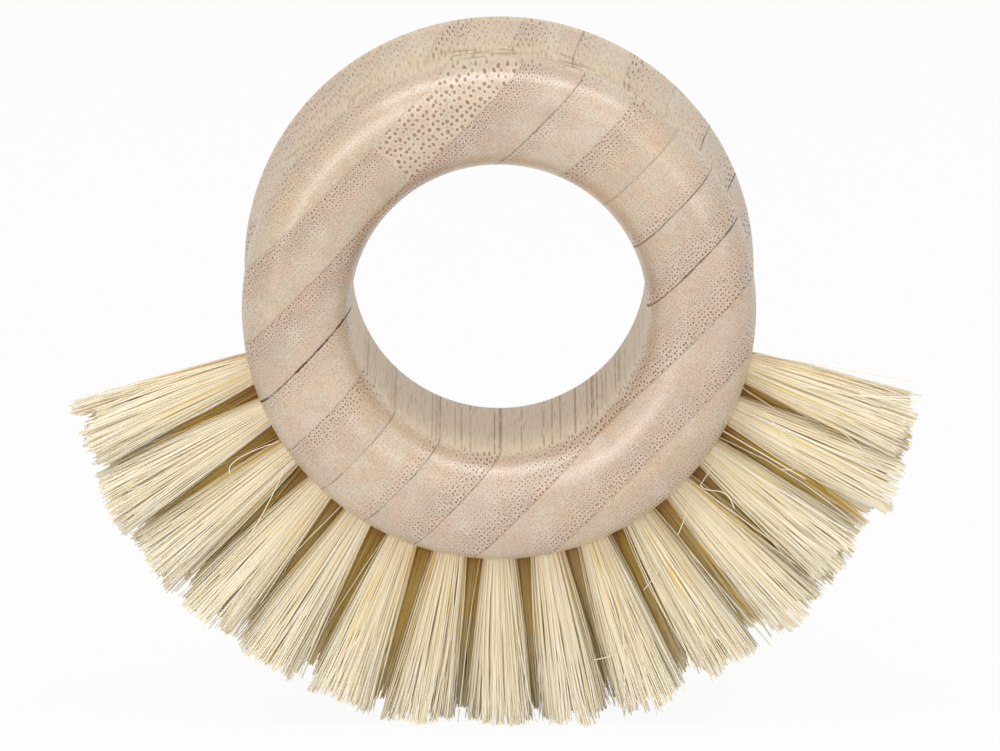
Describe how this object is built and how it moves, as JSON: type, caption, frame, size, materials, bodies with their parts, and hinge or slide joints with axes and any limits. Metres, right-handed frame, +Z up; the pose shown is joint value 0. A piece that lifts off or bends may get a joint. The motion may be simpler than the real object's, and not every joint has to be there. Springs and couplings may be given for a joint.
{
  "type": "vegetable brush",
  "caption": "Ring-handled scrubbing brush: a thick turned bamboo ring held by the fingers, with a half fan of stiff plant-fibre tufts set in its rim for cleaning vegetables.",
  "frame": {"origin": "on the surface that the brush stands on, straight under the middle of its ring", "axes": "+Z up from the bristle tips to the ring, +X to the right seen from the front, -Y out of the ring's front face"},
  "size_m": [0.1228, 0.037, 0.099],
  "materials": {
    "bamboo": "sanded and lightly oiled, satin, with end grain on the faces",
    "plant_fibre": "stiff natural fibre, cut to a round outline",
    "anchor_wire": "plain drawn flat wire"
  },
  "bodies": {
    "root": {"bamboo_strip_01": "bamboo", "bamboo_strip_02": "bamboo", "bamboo_strip_03": "bamboo", "bamboo_strip_04_left": "bamboo", "bamboo_strip_04_right": "bamboo", "bamboo_strip_05_left": "bamboo", "bamboo_strip_05_right": "bamboo", "bamboo_strip_06_left": "bamboo", "bamboo_strip_06_right": "bamboo", "bamboo_strip_07_left": "bamboo", "bamboo_strip_07_right": "bamboo", "bamboo_strip_08": "bamboo", "bamboo_strip_09": "bamboo", "bamboo_strip_10": "bamboo", "front_tufts_left": "plant_fibre", "front_tufts_right": "plant_fibre", "back_tufts_left": "plant_fibre", "back_tufts_right": "plant_fibre", "front_anchor_01": "anchor_wire", "front_anchor_02": "anchor_wire", "front_anchor_03": "anchor_wire", "front_anchor_04": "anchor_wire", "front_anchor_05": "anchor_wire", "front_anchor_06": "anchor_wire", "front_anchor_07": "anchor_wire", "front_anchor_08": "anchor_wire", "front_anchor_09": "anchor_wire", "front_anchor_10": "anchor_wire", "front_anchor_11": "anchor_wire", "front_anchor_12": "anchor_wire", "front_anchor_13": "anchor_wire", "front_anchor_14": "anchor_wire", "front_anchor_15": "anchor_wire", "back_anchor_01": "anchor_wire", "back_anchor_02": "anchor_wire", "back_anchor_03": "anchor_wire", "back_anchor_04": "anchor_wire", "back_anchor_05": "anchor_wire", "back_anchor_06": "anchor_wire", "back_anchor_07": "anchor_wire", "back_anchor_08": "anchor_wire", "back_anchor_09": "anchor_wire", "back_anchor_10": "anchor_wire", "back_anchor_11": "anchor_wire", "back_anchor_12": "anchor_wire", "back_anchor_13": "anchor_wire", "back_anchor_14": "anchor_wire"}
  },
  "joints": []
}
